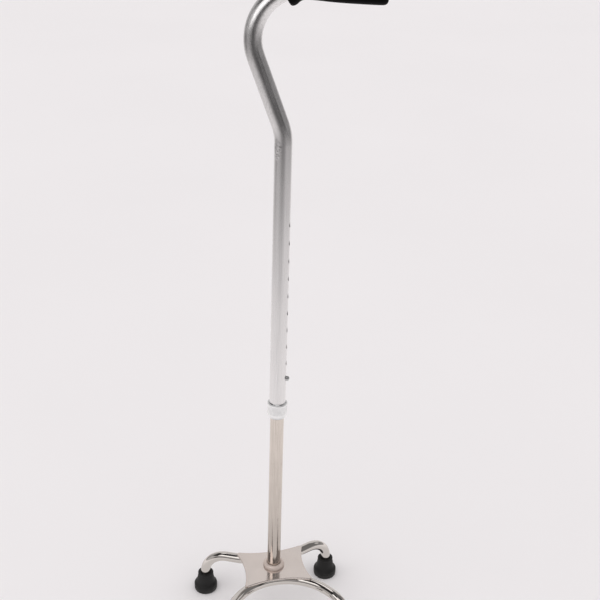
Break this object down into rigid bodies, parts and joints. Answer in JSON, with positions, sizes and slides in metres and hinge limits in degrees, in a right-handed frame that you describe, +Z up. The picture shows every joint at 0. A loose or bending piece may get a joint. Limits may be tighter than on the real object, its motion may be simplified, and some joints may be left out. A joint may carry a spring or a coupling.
{
  "type": "quad walking cane",
  "caption": "Height-adjustable walking cane: swan-neck tube with a soft grip, snap button and screw locking collar, on a wide polished base with arched tube legs and rubber tips.",
  "frame": {"origin": "on the floor, under the middle of the overall bounding box; the pole axis stands 3.2 mm to -X and 18.5 mm to +Y of it", "axes": "+Z up along the pole, +X along the hand grip away from the neck, +Y away from the wider pair of legs"},
  "size_m": [0.2472, 0.222, 0.9311],
  "materials": {
    "satin_aluminium": "satin clear anodised",
    "nickel_tube": "polished, warm nickel tone",
    "polished_plate": "polished, soft mirror",
    "leg_chrome": "polished chrome plate",
    "collar_metal": "knurled, satin chrome",
    "button_steel": "bright steel",
    "plain_steel": "zinc plated",
    "clamp_plastic": "nylon",
    "hidden_plastic": "moulded",
    "grip_foam": "soft matt black",
    "tip_rubber": "matt black"
  },
  "bodies": {
    "base": {"base_plate": "polished_plate", "base_ferrule": "polished_plate", "rear_leg_tube": "leg_chrome", "front_leg_tube": "leg_chrome", "leg_weld_beads": "leg_chrome", "thrust_washer": "plain_steel", "tip_rear_left": "tip_rubber", "tip_rear_right": "tip_rubber", "tip_front_left": "tip_rubber", "tip_front_right": "tip_rubber", "tip_disc_rear_left": "plain_steel", "tip_disc_rear_right": "plain_steel", "tip_disc_front_left": "plain_steel", "tip_disc_front_right": "plain_steel"},
    "pole": {"lower_tube": "nickel_tube", "lower_tube_plug": "hidden_plastic", "foot_insert": "plain_steel", "base_bolt": "plain_steel", "spring_washer": "plain_steel", "spring_clip": "plain_steel"},
    "button": {"snap_button": "button_steel"},
    "upper": {"upper_tube": "satin_aluminium", "handgrip": "grip_foam", "tube_end_plug": "hidden_plastic", "collet_sleeve": "collar_metal"},
    "clamp": {"clamp_ring": "clamp_plastic"},
    "nut": {"locking_nut": "collar_metal"}
  },
  "joints": [
    {"name": "base_turn", "type": "hinge", "parent": "base", "child": "pole", "pos_m": [-0.00317, 0.01855, 0.0755], "axis": [0, 0, 1], "continuous": true},
    {"name": "height_adjust", "type": "slide", "parent": "pole", "child": "upper", "axis": [0, 0, 1], "range_m": [-0.225, 0], "deforming": ["snap_button"]},
    {"name": "button_press", "type": "slide", "parent": "pole", "child": "button", "axis": [-0.9945, 0.1045, 0], "range_m": [0, 0.006], "stiffness_N_per_m": 1200, "springref_m": -0.001, "deforming": ["spring_clip"]},
    {"name": "nut_travel", "type": "slide", "parent": "upper", "child": "clamp", "axis": [0, 0, 1], "range_m": [-0.0015, 0]},
    {"name": "nut_turn", "type": "hinge", "parent": "clamp", "child": "nut", "pos_m": [-0.00317, 0.01855, 0.346], "axis": [0, 0, 1], "range_deg": [0, 360]}
  ],
  "couplings": [
    {"joint": "nut_turn", "follows": "nut_travel", "rad_per_m": -4188.8}
  ]
}
